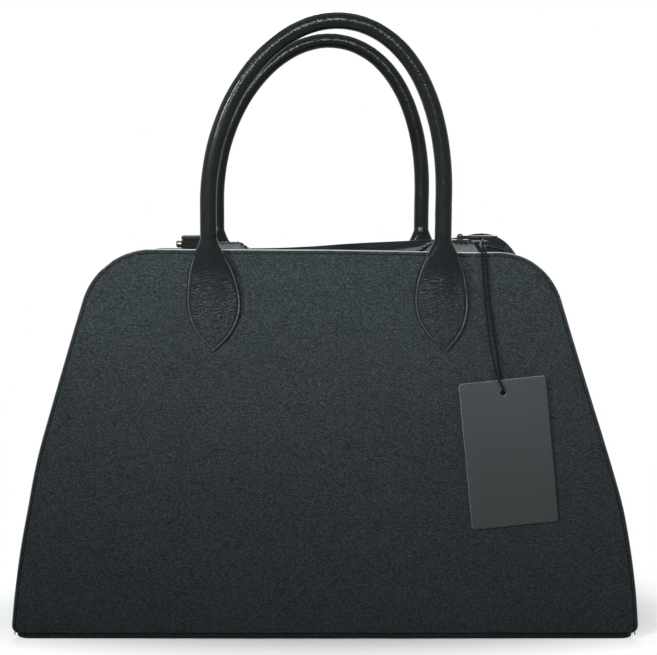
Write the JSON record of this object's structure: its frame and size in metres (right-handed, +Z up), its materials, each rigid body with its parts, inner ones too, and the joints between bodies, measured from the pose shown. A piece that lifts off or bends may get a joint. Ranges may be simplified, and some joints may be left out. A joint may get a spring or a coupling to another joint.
{
  "type": "tote bag",
  "caption": "Structured leather top-handle tote bag standing open, with rounded corners, rolled handles, a parted zip across the mouth and a blank hanging card on a cord.",
  "frame": {"origin": "middle of the base's underside, on the floor", "axes": "+X to the right seen from the front, +Y towards the back, +Z up; the front panel with the hanging card faces -Y"},
  "size_m": [0.3802, 0.146, 0.374],
  "materials": {
    "body_leather": "fine pebble grain, soft sheen",
    "handle_leather": "fine grain, semi-gloss",
    "core_rope": "twisted cotton",
    "lining_cloth": "plain twill",
    "zip_cloth": "woven tape",
    "zip_metal": "dark plated",
    "board": "pressed fibre board",
    "card": "matt laminated card",
    "cord": "waxed cord"
  },
  "bodies": {
    "bag": {"front_panel": "body_leather", "back_panel": "body_leather", "left_gusset": "body_leather", "right_gusset": "body_leather", "base_panel": "body_leather", "base_board": "board", "lining": "lining_cloth", "front_facing": "body_leather", "back_facing": "body_leather", "front_zip_strip": "body_leather", "back_zip_strip": "body_leather", "front_zip_tape": "zip_cloth", "back_zip_tape": "zip_cloth", "front_zip_teeth": "zip_metal", "back_zip_teeth": "zip_metal", "left_zip_end": "body_leather", "left_zip_rivet": "zip_metal", "right_zip_end": "body_leather", "front_left_tab": "handle_leather", "front_right_tab": "handle_leather", "back_left_tab": "handle_leather", "back_right_tab": "handle_leather", "tag_cord_tie": "cord"},
    "front_handle": {"front_handle_cover": "handle_leather", "front_handle_core": "core_rope"},
    "back_handle": {"back_handle_cover": "handle_leather", "back_handle_core": "core_rope"},
    "slider": {"zip_slider": "zip_metal"},
    "pull": {"zip_pull": "zip_metal"},
    "hang_tag": {"tag_card": "card", "tag_cord": "cord"}
  },
  "joints": [
    {"name": "front_handle_swing", "type": "hinge", "parent": "bag", "child": "front_handle", "pos_m": [0, -0.0615, 0.247], "axis": [1, 0, 0], "range_deg": [-25, 90]},
    {"name": "back_handle_swing", "type": "hinge", "parent": "bag", "child": "back_handle", "pos_m": [0, 0.0615, 0.247], "axis": [-1, 0, 0], "range_deg": [-25, 90]},
    {"name": "zip_slide", "type": "slide", "parent": "bag", "child": "slider", "axis": [-1, 0, 0], "range_m": [0, 0.155]},
    {"name": "pull_swing", "type": "hinge", "parent": "slider", "child": "pull", "pos_m": [0.088, 0, 0.24], "axis": [0, -1, 0], "range_deg": [0, 170]},
    {"name": "tag_swing", "type": "hinge", "parent": "bag", "child": "hang_tag", "pos_m": [0.0948, -0.0535, 0.2373], "axis": [-1, 0, 0], "range_deg": [0, 75]}
  ]
}
